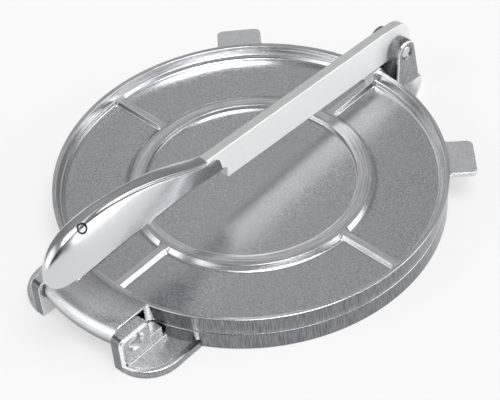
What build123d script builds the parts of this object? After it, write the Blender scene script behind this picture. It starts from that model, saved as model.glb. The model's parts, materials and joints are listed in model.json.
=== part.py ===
"""Round plate press in cast aluminium, for tortillas, dough balls and thin burgers.

Millimetres, +Z up, standing on Z = 0. +Y runs from the hinge of the lid to the fork that
holds the lever, and X = 0 is the plane of symmetry. The lever lies closed over the lid.
Positions named *_y are measured from the centre of the plates, which stands at plate_y.
Places on the lever are given as a distance back from its pivot and a height above it.
"""
from build123d import *
import os
from math import radians, sqrt, tan

# Plates: the base stands on its rim, and the lid carries the same rim turned upwards
plate_radius = 102.0
base_shrink = 0.8
base_height = 10.6
plate_gap = 0.4
lid_height = 11.0
pressing_wall = 3.6
side_draft = 0.7
rim_land = 2.4
rim_drop = 0.7
rim_lean = 1.3
rim_step = 0.5
rim_foot_lean = 0.5
ring_inner_radius = 55.6
ring_width = 6.9
spoke_width = 5.7
rib_height = 2.5
rib_draft = 0.5
cast_edge = 0.4

# Finger tabs that lift the lid
tab_angle = 45.9
tab_reach = 13.5
tab_width = 24.4
tab_thickness = 3.0
tab_step = 0.8
tab_corner = 3.5
tab_root = 3.0

# Hinge of the lid: a tongue on the lid between two lugs of the base
hinge_reach = 12.8
hinge_pin_radius = 4.0
tongue_radius = 7.0
tongue_half_width = 24.5
tongue_root = 4.0
tongue_block = 5.0
tongue_bow = 3.0
tongue_step = 0.2
hinge_side_gap = 0.5
hinge_lug_width = 7.0
hinge_lug_front = 9.8
hinge_lug_back = 10.0
hinge_lug_rise = 6.5
hinge_lug_round = 3.5
hinge_lug_edge = 1.2

# Half-moon feet beside the hinge lugs, with a raised rim round a sunk floor
foot_reach = 16.7
foot_height = 4.5
foot_floor = 1.8
foot_corner = 19.0
foot_rim = 3.2
foot_ledge = 1.0

# Fork that carries the lever, on a tapered web of the base
fork_reach = 13.0
pivot_rise = 7.8
lever_pin_radius = 3.5
fork_side_gap = 0.4
fork_lug_width = 7.6
fork_lug_radius = 7.1
fork_lug_edge = 0.8
fork_foot_back = 9.0
fork_foot_front = 12.0
web_root_half = 26.0
web_root_drop = 1.6
web_tip_height = 6.6
web_edge_height = 2.5
web_skin = 0.5

# Pins
running_clearance = 0.05
pin_recess = 0.9
bore_chamfer = 1.0

# Lever: an upright flat bar that ends in a round eye, and a hollow polished grip
lever_tilt = 3.35
bar_width = 5.4
bar_height = 20.0
bar_below_pivot = 5.8
eye_radius = 12.4
eye_rise = 1.0
eye_root = 11.0
eye_lobe = 8.2
bar_stop_back = 133.0
bar_core_back = 151.0
bar_core_above = 9.0
bar_core_rise = 6.0
grip_wall = 3.0
grip_hollow_crown = 0.4
grip_overrun = 2.0

# Stations along the grip: distance back, heights of the lip and the crown above the pivot, half
# widths of the lip and the crown, and how full the cheeks are (0 straight, 1 round)
grip_stations = (
    (137.0, 9.5, 21.8, 2.8, 2.7, 0.0),
    (147.0, 12.2, 23.4, 3.9, 3.3, 0.0),
    (160.0, 16.0, 28.6, 6.0, 3.9, 0.1),
    (175.0, 18.8, 35.0, 8.2, 3.7, 0.2),
    (195.0, 21.6, 41.0, 10.2, 2.9, 0.35),
    (215.0, 22.6, 44.0, 11.2, 2.5, 0.55),
    (229.0, 21.6, 43.4, 10.8, 2.4, 0.75),
    (240.0, 19.6, 40.2, 8.8, 2.2, 0.9),
    (247.0, 18.2, 34.6, 5.4, 1.7, 1.0),
    (250.2, 19.6, 29.2, 2.4, 0.9, 1.0),
)
nose_back = 251.0
nose_low = 22.4
nose_high = 26.0
nose_half = 0.9

# Stop block on the rim of the lid, which the lever presses down
stop_half_width = 3.6
stop_inset = 6.5
stop_top_inset = 0.5
stop_reach = 4.2
stop_slope = 7.6
stop_lift = 1.0
stop_gap = 0.4

# Places that follow from the sizes above
base_radius = plate_radius - base_shrink
base_wall_low = base_height - pressing_wall
lid_bottom = base_height + plate_gap
lid_top = lid_bottom + lid_height
lid_floor = lid_bottom + pressing_wall
rim_inner_radius = plate_radius - rim_land
rim_step_radius = rim_inner_radius - rim_lean
rim_foot_radius = rim_step_radius - rim_step - rim_foot_lean
skirt_foot_radius = rim_foot_radius - base_shrink
ring_middle_radius = ring_inner_radius + ring_width / 2
hinge_y = -plate_radius - hinge_reach
hinge_z = lid_top - tongue_step - tongue_radius
hinge_inner_x = tongue_half_width + hinge_side_gap
hinge_outer_x = hinge_inner_x + hinge_lug_width
foot_outer_x = hinge_outer_x + foot_reach
fork_inner_x = bar_width / 2 + fork_side_gap
fork_outer_x = fork_inner_x + fork_lug_width
fork_y = plate_radius + fork_reach
pivot_z = lid_top + pivot_rise
web_root_height = base_height - web_root_drop
bar_above_pivot = bar_height - bar_below_pivot
plate_y = (nose_back - max(eye_radius, fork_foot_front)) / 2 - fork_y
plate_axis = Axis((0, plate_y, 0), (0, 0, 1))


def level(z):
    """Horizontal plane at height z, centred on the plates."""
    return Plane(origin=(0, plate_y, z))


def side(x):
    """Upright plane at x, drawn in (y from the plate centre, z) and facing +X."""
    return Plane(origin=(x, plate_y, 0), x_dir=(0, 1, 0), z_dir=(1, 0, 0))


def across(y):
    """Upright plane at y from the plate centre, drawn in (x, z) and facing -Y."""
    return Plane(origin=(0, plate_y + y, 0), x_dir=(1, 0, 0), z_dir=(0, -1, 0))


def outline(points):
    """Face with straight sides through the points, in the sketch that is open."""
    return Polygon(*points, align=None)


def rib_profile(middle, half, foot_z, top_z):
    """Corners of a drafted rib: half wide at top_z and rib_draft wider at foot_z."""
    return [
        (middle - half - rib_draft, foot_z),
        (middle + half + rib_draft, foot_z),
        (middle + half, top_z),
        (middle - half, top_z),
    ]


def lever_line(y, above_pivot):
    """Height at y of a line that runs along the lever, above_pivot over its pivot."""
    return pivot_z + above_pivot + (fork_y - y) * tan(radians(lever_tilt))


def cheek(lip, crown, half, crown_half, fullness):
    """Curve down one side of the grip, from the edge of the crown to the lip."""
    points = []
    for share in (0.0, 0.15, 0.4, 0.7, 1.0):
        bulge = (1 - fullness) * share + fullness * sqrt(1 - (1 - share) ** 2)
        x = crown_half + (half - crown_half) * bulge
        points.append(Vector(x, pivot_z + crown - share * (crown - lip)))
    return Edge.make_spline(points)


def grip_face(lip, crown, half, crown_half, fullness):
    """Outer section of the grip between lip and crown, in the sketch that is open."""
    right = cheek(lip, crown, half, crown_half, fullness)
    left = right.mirror(Plane.YZ)
    over = Edge.make_line(left @ 0, right @ 0)
    under = Edge.make_line(left @ 1, right @ 1)
    return make_face([right, left, over, under])


def hollow_face(lip, crown, half, crown_half):
    """Straight-sided section of the grip's hollow, which runs out below the lip."""
    top = pivot_z + crown - grip_wall
    low = pivot_z + lip - grip_overrun
    foot_half = half - grip_wall
    top_half = crown_half * grip_hollow_crown
    return outline([(-foot_half, low), (foot_half, low), (top_half, top), (-top_half, top)])


# Base plate: a flat pressing wall on a standing rim, with the ring and spokes underneath
with BuildPart() as base_plate:
    with BuildSketch(level(0)):
        Circle(base_radius)
    extrude(amount=base_height)
    chamfer(base_plate.edges().filter_by(GeomType.CIRCLE).sort_by(Axis.Z)[-1], cast_edge)

    # Half-moon feet with a raised rim
    front_y = hinge_y - hinge_lug_front
    floor_front_y = front_y + foot_rim
    floor_outer_x = foot_outer_x - foot_rim
    ledge_x = hinge_outer_x + foot_ledge
    for hand in (1, -1):
        with BuildSketch(level(0)) as foot:
            with Locations((hand * (hinge_inner_x + foot_outer_x) / 2, front_y / 2)):
                Rectangle(foot_outer_x - hinge_inner_x, -front_y)
            front_corners = foot.vertices().sort_by(Axis.Y)[:2].sort_by(Axis.X)
            fillet(front_corners[max(0, hand)], foot_corner)
        extrude(amount=foot_height)
        with BuildSketch(level(foot_floor)) as floor:
            with Locations((hand * floor_outer_x / 2, floor_front_y / 2)):
                Rectangle(floor_outer_x, -floor_front_y)
            front_corners = floor.vertices().sort_by(Axis.Y)[:2].sort_by(Axis.X)
            fillet(front_corners[max(0, hand)], foot_corner - foot_rim)
            with Locations((hand * ledge_x / 2, floor_front_y / 2)):
                Rectangle(ledge_x, -floor_front_y, mode=Mode.SUBTRACT)
            Circle(base_radius, mode=Mode.SUBTRACT)
        extrude(amount=foot_height, mode=Mode.SUBTRACT)

    # Hinge lugs, each with a low wall that joins it to the plate
    lug_back = hinge_y + hinge_lug_back
    lug_top = hinge_z + hinge_lug_rise
    for x in (hinge_inner_x, -hinge_outer_x):
        with BuildSketch(side(x)) as lug:
            outline([(front_y, 0), (front_y, lug_top), (lug_back, lug_top), (lug_back, 0)])
            fillet(lug.vertices().sort_by(Axis.Y)[-2:], hinge_lug_round)
        extrude(amount=hinge_lug_width)
        with BuildSketch(side(x)):
            wall_end = -skirt_foot_radius
            outline([(lug_back, 0), (lug_back, base_height), (wall_end, base_height), (wall_end, 0)])
        extrude(amount=hinge_lug_width)

    lug_edges = base_plate.edges().filter_by_position(Axis.Z, base_height + cast_edge, lug_top)
    outer_edges = [edge for edge in lug_edges if abs(abs(edge.center().X) - hinge_outer_x) < 0.01]
    chamfer(outer_edges, hinge_lug_edge)

    # Web under the fork, sloping down to its edges
    web_tip_y = fork_y + fork_foot_front
    web_tip = (web_tip_y, fork_outer_x + web_skin, web_tip_height)
    web_root = (skirt_foot_radius, web_root_half, web_root_height)
    for y, half, top in (web_tip, web_root):
        with BuildSketch(across(y)):
            right = [(half, 0), (half, web_edge_height), (fork_outer_x, top)]
            outline(right + [(-x, z) for x, z in reversed(right)])
    loft(ruled=True)

    # Fork lugs
    for x in (fork_inner_x, -fork_outer_x):
        with BuildSketch(side(x)):
            with Locations((fork_y, pivot_z)):
                Circle(fork_lug_radius)
            with BuildLine():
                Line((fork_y - fork_foot_back, 0), (web_tip_y, 0))
            make_hull()
        extrude(amount=fork_lug_width)
    fork_edges = base_plate.edges().filter_by_position(Axis.Z, pivot_z, pivot_z + fork_lug_radius)
    outer_edges = [edge for edge in fork_edges if abs(abs(edge.center().X) - fork_outer_x) < 0.01]
    chamfer(outer_edges, fork_lug_edge)

    # Hollow underside with its ring and spokes
    rim_low_radius = rim_inner_radius - base_shrink
    with BuildSketch(side(0)):
        outline([(0, 0), (rim_low_radius, 0), (skirt_foot_radius, base_wall_low), (0, base_wall_low)])
    revolve(axis=plate_axis, mode=Mode.SUBTRACT)
    base_rib_top = base_wall_low - rib_height
    for plane in (side(0), across(0)):
        with BuildSketch(plane):
            outline(rib_profile(0, spoke_width / 2, base_wall_low, base_rib_top))
        extrude(amount=skirt_foot_radius, both=True)
    with BuildSketch(level(base_rib_top)):
        Circle(ring_inner_radius)
    extrude(amount=rib_height, mode=Mode.SUBTRACT)
    with BuildSketch(side(0)):
        outline(rib_profile(ring_middle_radius, ring_width / 2, base_wall_low, base_rib_top))
    revolve(axis=plate_axis)

    # Bores of the two pins
    for x, y, z, radius in (
        (hinge_outer_x, hinge_y, hinge_z, hinge_pin_radius),
        (fork_outer_x, fork_y, pivot_z, lever_pin_radius),
    ):
        with BuildSketch(side(-x)):
            with Locations((y, z)):
                Circle(radius)
        extrude(amount=2 * x, mode=Mode.SUBTRACT)
        with BuildSketch(side(-x), side(x)):
            with Locations((y, z)):
                Circle(radius + bore_chamfer)
        extrude(amount=bore_chamfer, both=True, taper=45, mode=Mode.SUBTRACT)
base_plate.part.label = "base_plate"

# Lid: the upper plate with its floor sunk inside a raised rim, a ring and four spokes
with BuildPart() as lid:
    # Hinge tongue, rolled down round its pin and bowed along its front
    tongue_top = lid_top - tongue_step
    root_y = -plate_radius - tongue_block
    bow_radius = (tongue_half_width**2 + tongue_bow**2) / (2 * tongue_bow)
    bow_y = hinge_y - tongue_radius - tongue_bow + bow_radius
    bow_axis = Axis((0, plate_y + bow_y, 0), (0, 0, 1))
    with BuildSketch(side(0)):
        with Locations((hinge_y - tongue_bow, hinge_z)):
            Circle(tongue_radius)
        with BuildLine():
            Line((-rim_inner_radius, lid_bottom), (-rim_inner_radius, tongue_top))
        make_hull()
    revolve(axis=bow_axis, revolution_arc=40)
    mirror(about=Plane.YZ)
    with BuildSketch(level(0)):
        with Locations((0, hinge_y)):
            Rectangle(2 * tongue_half_width, 2 * plate_radius)
    extrude(amount=2 * lid_top, mode=Mode.INTERSECT)

    # Plate
    with BuildSketch(side(0)):
        outline(
            [
                (0, lid_bottom),
                (plate_radius - side_draft, lid_bottom),
                (plate_radius, lid_top - cast_edge),
                (plate_radius - cast_edge, lid_top),
                (rim_inner_radius, lid_top - rim_drop),
                (rim_step_radius, lid_floor + rib_height),
                (rim_step_radius - rim_step, lid_floor + rib_height),
                (rim_foot_radius, lid_floor),
                (0, lid_floor),
            ]
        )
    revolve(axis=plate_axis)
    for plane in (side(0), across(0)):
        with BuildSketch(plane):
            outline(rib_profile(0, spoke_width / 2, lid_floor, lid_floor + rib_height))
        extrude(amount=rim_step_radius, both=True)
    with BuildSketch(level(lid_floor)):
        Circle(ring_inner_radius)
    extrude(amount=rib_height, mode=Mode.SUBTRACT)
    with BuildSketch(side(0)):
        outline(rib_profile(ring_middle_radius, ring_width / 2, lid_floor, lid_floor + rib_height))
    revolve(axis=plate_axis)

    # Finger tabs
    tab_top = lid_top - tab_step
    with BuildSketch(level(tab_top - tab_thickness)) as tabs:
        Circle(plate_radius - cast_edge)
        with PolarLocations(plate_radius, 2, 90 - tab_angle, 2 * tab_angle, endpoint=True):
            Rectangle(2 * tab_reach, tab_width)
        far = tabs.vertices().sort_by_distance((0, 0))
        fillet(far[-4:], tab_corner)
        roots = tabs.vertices().sort_by_distance((0, 0))[:4]
        fillet(roots, tab_root)
        Circle(rim_inner_radius, mode=Mode.SUBTRACT)
    extrude(amount=tab_thickness)

    # Root of the tongue on the rim, and the bore of the hinge pin
    with BuildSketch(level(lid_bottom)) as root:
        Circle(plate_radius - side_draft)
        with Locations((0, root_y / 2)):
            Rectangle(2 * tongue_half_width, -root_y)
        corners = root.vertices().sort_by(Axis.Y)[2:4]
        fillet(corners, tongue_root)
        Circle(rim_inner_radius, mode=Mode.SUBTRACT)
        with Locations((0, -plate_radius)):
            Rectangle(2 * (tongue_half_width + tongue_root), plate_radius, mode=Mode.INTERSECT)
    extrude(amount=lid_height - tab_step)
    with BuildSketch(side(-tongue_half_width)):
        with Locations((hinge_y, hinge_z)):
            Circle(hinge_pin_radius + running_clearance)
    extrude(amount=2 * tongue_half_width, mode=Mode.SUBTRACT)

    # Stop block, a step under the lever with a sloping front
    stop_inner_y = plate_radius - stop_inset
    stop_top_y = plate_radius - stop_top_inset
    stop_outer_y = plate_radius + stop_reach
    stop_top = lever_line(stop_top_y, -bar_below_pivot) - stop_gap
    stop_bottom = lid_bottom + stop_lift
    with BuildSketch(side(-stop_half_width)):
        outline(
            [
                (stop_inner_y, stop_bottom),
                (stop_inner_y, stop_top),
                (stop_top_y, stop_top),
                (stop_outer_y, stop_top - stop_slope),
                (stop_outer_y, stop_bottom),
            ]
        )
    extrude(amount=2 * stop_half_width)
lid.part.label = "lid"

# Lever: one casting of bar and grip
with BuildPart() as lever:
    eye_root_y = fork_y - eye_root
    root_top = lever_line(eye_root_y, bar_above_pivot)
    root_low = lever_line(eye_root_y, -bar_below_pivot)
    far_y = fork_y + 2 * eye_radius
    bar_stop_y = fork_y - bar_stop_back
    bar_core_y = fork_y - bar_core_back
    bar_core_z = pivot_z + bar_core_above
    with BuildSketch(side(-bar_width / 2)) as bar:
        with Locations((fork_y, pivot_z + eye_rise)):
            Circle(eye_radius)
        with BuildLine():
            Line((eye_root_y, root_low), (eye_root_y, root_top))
        make_hull()
        Polygon(
            (eye_root_y, root_low),
            (far_y, lever_line(far_y, -bar_below_pivot)),
            (far_y, 0),
            (eye_root_y, 0),
            align=None,
            mode=Mode.SUBTRACT,
        )
        with Locations((fork_y, pivot_z)):
            Circle(eye_lobe)
        outline(
            [
                (eye_root_y, root_top),
                (eye_root_y, root_low),
                (bar_stop_y, lever_line(bar_stop_y, -bar_below_pivot)),
                (bar_stop_y, bar_core_z),
                (bar_core_y, bar_core_z + bar_core_rise),
                (bar_core_y, lever_line(bar_core_y, bar_above_pivot)),
            ]
        )
    extrude(amount=bar_width)
    for back, lip, crown, half, crown_half, fullness in grip_stations:
        with BuildSketch(across(fork_y - back)):
            grip_face(lip, crown, half, crown_half, fullness)
    with BuildSketch(across(fork_y - nose_back)):
        grip_face(nose_low, nose_high, nose_half, nose_half / 2, 1.0)
    loft()

    # Hollow of the grip, open below
    for back, lip, crown, half, crown_half, fullness in grip_stations[2:-1]:
        with BuildSketch(across(fork_y - back)):
            hollow_face(lip, crown, half, crown_half)
    loft(mode=Mode.SUBTRACT)

    # Bore of the lever pin
    with BuildSketch(side(-bar_width / 2)):
        with Locations((fork_y, pivot_z)):
            Circle(lever_pin_radius + running_clearance)
    extrude(amount=bar_width, mode=Mode.SUBTRACT)
lever.part.label = "lever"

# Hinge pin, pressed into the lugs of the base
with BuildPart() as hinge_pin:
    with BuildSketch(side(pin_recess - hinge_outer_x)):
        with Locations((hinge_y, hinge_z)):
            Circle(hinge_pin_radius)
    extrude(amount=2 * (hinge_outer_x - pin_recess))
hinge_pin.part.label = "hinge_pin"

# Lever pin, pressed into the lugs of the fork
with BuildPart() as lever_pin:
    with BuildSketch(side(pin_recess - fork_outer_x)):
        with Locations((fork_y, pivot_z)):
            Circle(lever_pin_radius)
    extrude(amount=2 * (fork_outer_x - pin_recess))
lever_pin.part.label = "lever_pin"

# One file for each piece
os.makedirs("parts", exist_ok=True)
export_step(base_plate.part, "parts/base_plate.step")
export_step(lid.part, "parts/lid.step")
export_step(lever.part, "parts/lever.step")
export_step(hinge_pin.part, "parts/hinge_pin.step")
export_step(lever_pin.part, "parts/lever_pin.step")
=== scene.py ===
# %% [markdown]
# A round hand press in cast aluminium, for tortillas, burgers and dough. Two flat plates are
# joined by a hinge at the front, and a lever on a fork at the back pushes the upper plate down.
# It is three castings and two steel pins. The CAD model has their places and main forms; this
# script gives each casting its finer form and its finish, and sets up the picture.

# %% Load the frame
import json

import bmesh
import bpy
import numpy as np
from mathutils import Matrix


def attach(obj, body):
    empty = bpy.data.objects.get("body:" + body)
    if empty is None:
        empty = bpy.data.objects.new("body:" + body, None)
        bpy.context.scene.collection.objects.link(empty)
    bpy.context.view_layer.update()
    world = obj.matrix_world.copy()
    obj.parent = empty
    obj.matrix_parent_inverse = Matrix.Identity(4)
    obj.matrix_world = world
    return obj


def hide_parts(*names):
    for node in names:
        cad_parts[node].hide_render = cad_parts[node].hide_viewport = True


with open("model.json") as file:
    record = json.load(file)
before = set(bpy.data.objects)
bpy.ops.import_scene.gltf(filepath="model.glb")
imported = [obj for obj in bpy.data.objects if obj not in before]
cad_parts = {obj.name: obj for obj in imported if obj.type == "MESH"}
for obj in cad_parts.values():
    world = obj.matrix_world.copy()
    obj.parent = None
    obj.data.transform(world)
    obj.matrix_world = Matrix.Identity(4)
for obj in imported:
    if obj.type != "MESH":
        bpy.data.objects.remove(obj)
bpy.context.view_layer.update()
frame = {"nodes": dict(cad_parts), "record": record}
print("nodes of the CAD model:", sorted(frame["nodes"]))

# %% [markdown]
# The lid and the lever turn about the two pins, so the pins fix where all else lies. Their
# places are read from the joints in the frame's record. Sizes in this script are in millimetres
# and are measured from the middle of the plates, with y towards the fork and z up from the table.

# %% Places of the pins
PLATE_RADIUS = 102.0
FORK_REACH = 13.0
joints = {joint["name"]: joint["pos_m"] for joint in frame["record"]["behaviour"]["joints"]}
pivot_y, pivot_z = (round(1000.0 * metres, 2) for metres in joints["lever_pivot"][1:])
hinge_y, hinge_z = (round(1000.0 * metres, 2) for metres in joints["lid_hinge"][1:])
PLATE_Y = round(pivot_y - PLATE_RADIUS - FORK_REACH, 2)
PIVOT = (round(pivot_y - PLATE_Y, 2), pivot_z)
HINGE = (round(hinge_y - PLATE_Y, 2), hinge_z)
print("middle of the plates at y", PLATE_Y, "pivot", PIVOT, "hinge", HINGE)

# %% [markdown]
# Everything here is a surface computed as whole arrays. The basic form is a stack of rings: each
# ring is a closed row of points, and neighbouring rings are joined by four-sided faces. A loft, a
# turned part and a plate with rounded edges are all such stacks, so one function makes the mesh.

# %% From rings of points to a mesh
MILLIMETRE = 0.001
WELD = 2e-6
NO_LENGTH = 1e-7


def skin(name, rings, closed_stack=False, finish=None):
    """Solid over an array of rings x points x 3 in millimetres. Each ring closes on itself. The
    first and last ring are capped, or joined to each other when closed_stack is true. finish
    holds named attributes, one value from 0 to 1 for each point, that the material reads."""
    rows, columns = rings.shape[:2]
    index = np.arange(rows * columns).reshape(rows, columns)
    low = index if closed_stack else index[:-1]
    high = np.roll(index, -1, 0) if closed_stack else index[1:]
    corners = (low, np.roll(low, -1, 1), np.roll(high, -1, 1), high)
    faces = np.stack(corners, -1).reshape(-1, 4).tolist()
    if not closed_stack:
        faces += [index[0, ::-1].tolist(), index[-1].tolist()]
    points = (rings.reshape(-1, 3) + (0.0, PLATE_Y, 0.0)) * MILLIMETRE
    mesh = bpy.data.meshes.new(name)
    mesh.from_pydata(points.tolist(), [], faces)
    for key, values in (finish or {}).items():
        layer = mesh.attributes.new(key, "FLOAT", "POINT")
        layer.data.foreach_set("value", np.asarray(values, np.float32).ravel())
    return clean_piece(name, mesh)


def clean_piece(name, mesh):
    """Merges points that lie together, turns the faces outwards and links the object."""
    shape = bmesh.new()
    shape.from_mesh(mesh)
    bmesh.ops.remove_doubles(shape, verts=shape.verts, dist=WELD)
    bmesh.ops.dissolve_degenerate(shape, edges=shape.edges, dist=NO_LENGTH)
    if shape.calc_volume(signed=True) < 0:
        bmesh.ops.reverse_faces(shape, faces=shape.faces)
    shape.to_mesh(mesh)
    shape.free()
    mesh.shade_smooth()
    piece = bpy.data.objects.new(name, mesh)
    bpy.context.scene.collection.objects.link(piece)
    return piece


# %% [markdown]
# A cast part has no sharp edge. Blender's Bevel modifier could round each mesh afterwards, but it
# is uneven on thin forms. So outlines are drawn with corners and rounded while they are still
# lines: each corner gives way to an arc that touches both of its sides.

# %% Rounded outlines
SMALLEST_ANGLE = 1e-3
SIDE_SHARE = 0.49


def rounded(points, radii, steps=4, closed=True):
    """Outline whose corners are arcs of the given radii. An arc runs from one side to the other
    about a centre on the corner's bisector; a radius of 0 keeps the corner."""
    points = np.asarray(points, float)
    radii = np.broadcast_to(np.asarray(radii, float), len(points)).copy()
    if not closed:
        radii[[0, -1]] = 0.0
    to_last = np.roll(points, 1, 0) - points
    to_next = np.roll(points, -1, 0) - points
    last_length = np.linalg.norm(to_last, axis=1, keepdims=True)
    next_length = np.linalg.norm(to_next, axis=1, keepdims=True)
    to_last, to_next = to_last / last_length, to_next / next_length
    half = np.arccos(np.clip((to_last * to_next).sum(1), -1, 1)) / 2
    half = np.clip(half, SMALLEST_ANGLE, np.pi / 2 - SMALLEST_ANGLE)
    room = SIDE_SHARE * np.minimum(last_length, next_length)[:, 0]
    cut = np.minimum(radii / np.tan(half), room)
    radii = cut * np.tan(half)
    bisector = to_last + to_next
    bisector /= np.maximum(np.linalg.norm(bisector, axis=1, keepdims=True), 1e-9)
    centre = (points + bisector * (radii / np.sin(half))[:, None])[:, None]
    share = np.linspace(0, 1, steps + 1)[None, :, None]
    sweep = (np.pi - 2 * half)[:, None, None]
    first = (points + to_last * cut[:, None])[:, None] - centre
    last = (points + to_next * cut[:, None])[:, None] - centre
    spokes = np.sin((1 - share) * sweep) * first + np.sin(share * sweep) * last
    arcs = centre + spokes / np.sin(sweep)
    bends = zip(arcs, radii, points)
    parts = [bend if radius > 1e-6 else point[None] for bend, radius, point in bends]
    return np.concatenate(parts)


def arc(centre, radius, start, end, steps):
    """Points on a circle from one angle to another, in degrees."""
    turn = np.radians(np.linspace(start, end, steps + 1))
    return np.stack([centre[0] + radius * np.cos(turn), centre[1] + radius * np.sin(turn)], 1)


def inset(outline, distance):
    """The outline moved inwards: each point goes along the bisector of its two sides."""
    following = np.roll(outline, -1, 0)
    side = following - outline
    side /= np.linalg.norm(side, axis=1, keepdims=True)
    area = np.sum(outline[:, 0] * following[:, 1] - outline[:, 1] * following[:, 0])
    normal = np.stack([-side[:, 1], side[:, 0]], 1) * np.sign(area)
    both = normal + np.roll(normal, 1, 0)
    return outline + distance * 2 * both / np.sum(both**2, 1, keepdims=True)


def refine(line, step, closed=False):
    """Adds evenly spaced points on the long runs of a line, or of an outline that closes."""
    if closed:
        return refine(np.concatenate([line, line[:1]]), step)[:-1]
    gaps = np.linalg.norm(np.diff(line, axis=0), axis=1)
    parts = []
    for start, end, gap in zip(line[:-1], line[1:], gaps):
        share = np.linspace(0, 1, max(1, int(np.ceil(gap / step))) + 1)[:-1, None]
        parts.append(start + share * (end - start))
    return np.concatenate(parts + [line[-1:]])


print("a square with round corners has", len(rounded([(0, 0), (9, 0), (9, 9), (0, 9)], 1.0)), "points")

# %% [markdown]
# Lugs, tabs and the lever's bar are plates: an outline with thickness. A rounded plate is a stack
# of rings that starts at one flat face, turns over the edge along a quarter circle, runs down the
# side and turns again into the other face.

# %% Rounded plates
QUARTER = np.radians(np.linspace(0, 90, 5))
DRAWN_IN = 1 - np.sin(QUARTER)
DROPPED = 1 - np.cos(QUARTER)


def plate_rings(outline, low, high, edge):
    """Rings (u, v, height) of a plate between two heights: the outline is inset by
    edge * (1 - sin t) while the height runs through edge * (1 - cos t)."""
    insets = edge * np.concatenate([DRAWN_IN, DRAWN_IN[::-1]])
    heights = np.concatenate([low + edge * DROPPED, high - edge * DROPPED[::-1]])
    rings = [np.column_stack([inset(outline, d), np.full(len(outline), h)]) for d, h in zip(insets, heights)]
    return np.stack(rings)


def plan_plate(name, outline, low, high, edge):
    """Plate that lies flat: the outline is in x and y."""
    return skin(name, plate_rings(outline, low, high, edge))


def side_plate(name, outline, low, high, edge):
    """Plate that stands upright along the press: the outline is in y and z, the height is x.
    Its attribute named rim is 0 on the two flat faces and 1 on the narrow sides."""
    rings = plate_rings(outline, low, high, edge)
    rim = np.ones(rings.shape[:2])
    rim[[0, -1]] = 0.0
    return skin(name, rings[:, :, [2, 0, 1]], finish={"rim": rim})


def block(name, y_range, height, x_range, edge):
    """Upright block on the table between two y, up to a height, between two x."""
    (near, far), (low, high) = y_range, sorted(x_range)
    outline = rounded([(near, 0), (near, height), (far, height), (far, 0)], 0.5)
    return side_plate(name, outline, low, high, edge)


print("an edge is turned in", len(QUARTER), "rings")

# %% [markdown]
# The two plates are turned forms with ribs: a ring and four spokes stand on the floor of the lid,
# and the same ribs stiffen the base from below. A rib leans outwards towards its foot, which lets
# the casting out of its mould, and it meets the floor in a small hollow curve.

# %% Section of a rib
RIB_HEIGHT = 2.5
RIB_DRAFT = 1.3
RIB_EDGE = 0.35
RIB_FILLET = 0.9
RING_IN, RING_OUT = 55.2, 62.3
SPOKE_HALF = 1.8
SPOKE_REACH = 6.0
PROFILE_STEPS = 5


def spoke_side():
    """Half section of a spoke, from its middle line out to the floor: distances, and heights
    from 0 to 1. Top, side and floor are straight and are joined by arcs."""
    foot = SPOKE_HALF + RIB_DRAFT
    corners = [(0, RIB_HEIGHT), (SPOKE_HALF, RIB_HEIGHT), (foot, 0), (SPOKE_REACH, 0)]
    line = rounded(corners, [0, RIB_EDGE, RIB_FILLET, 0], PROFILE_STEPS, closed=False)
    return line[:, 0], line[:, 1] / RIB_HEIGHT


print("a spoke is", 2 * SPOKE_HALF, "wide at the top and", 2 * (SPOKE_HALF + RIB_DRAFT), "at its foot")

# %% [markdown]
# A plate could be spun from its profile, with the spokes as loose bars laid on it, but a casting
# has no seam between them. Here the profile is carried round the middle and the spokes are raised
# out of the same grid. They have parallel sides, which a plain polar grid would cut into steps,
# so the grid lines beside each spoke run parallel to it and only further away fan out.

# %% Grid of a plate
AXIS_GAP = 0.02
PROFILE_STEP = 3.5
COLUMN_DISTANCES = (0.9, 1.9, 4.6, SPOKE_REACH)
SECTOR_COLUMNS = 92
SPOKE_TUCK = 1.5
HUB_MARGIN = 4.0
ROOT_FLARE, ROOT_LENGTH = 1.6, 1.1


def turned_profile(corners):
    """Line through corners (radius, height, rounding), with points added on its long runs."""
    corners = np.array(corners)
    line = rounded(corners[:, :2], corners[:, 2], PROFILE_STEPS, closed=False)
    return refine(line, PROFILE_STEP)


def turned_grid(profile, spokes_to, floor, rib):
    """Points of a ribbed plate. profile is a row of (radius, height). Column angles follow the
    spokes: beside a spoke a column keeps its distance d from the spoke's middle line, so its
    angle is arcsin(d / radius); between the spokes the angle is shared out evenly. A spoke widens
    at both ends by an exponential. The height joins the profile's share a of the rib with the
    spoke's share b as 1 - (1 - a)(1 - b)."""
    spokes_from = RING_OUT - SPOKE_TUCK
    side, rise = spoke_side()
    distances = np.unique(np.round(np.concatenate([side, COLUMN_DISTANCES]), 4))
    radius, height = profile[:, 0:1], profile[:, 1:2]
    steady = np.clip(radius, spokes_from - HUB_MARGIN, None)
    flare = np.exp((spokes_from - radius) / ROOT_LENGTH) + np.exp((radius - spokes_to) / ROOT_LENGTH)
    flare = ROOT_FLARE * np.clip(flare, 0, 1) * (radius > spokes_from - HUB_MARGIN)
    near = np.arcsin((distances[None] + flare * (distances > 1.0)) / steady)
    share = np.linspace(0, 1, SECTOR_COLUMNS)[None, 1:-1]
    between = near[:, -1:] + share * (np.pi / 2 - 2 * near[:, -1:])
    quarter = np.concatenate([near, between, np.pi / 2 - near[:, :0:-1]], 1)
    angle = np.concatenate([quarter + step * np.pi / 2 for step in range(4)], 1)
    x, y = radius * np.cos(angle), radius * np.sin(angle)
    spoke = np.interp(np.minimum(np.abs(x), np.abs(y)) - flare, side, rise)
    spoke = spoke * ((radius > spokes_from) & (radius < spokes_to))
    own = (height - floor) / rib
    on_rib = (own > -0.01) & (own < 1.01) & (radius < spokes_to)
    joined = floor + rib * (1 - (1 - np.clip(own, 0, 1)) * (1 - spoke))
    return np.stack([x, y, np.where(on_rib, joined, height + 0 * x)], -1)


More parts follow.
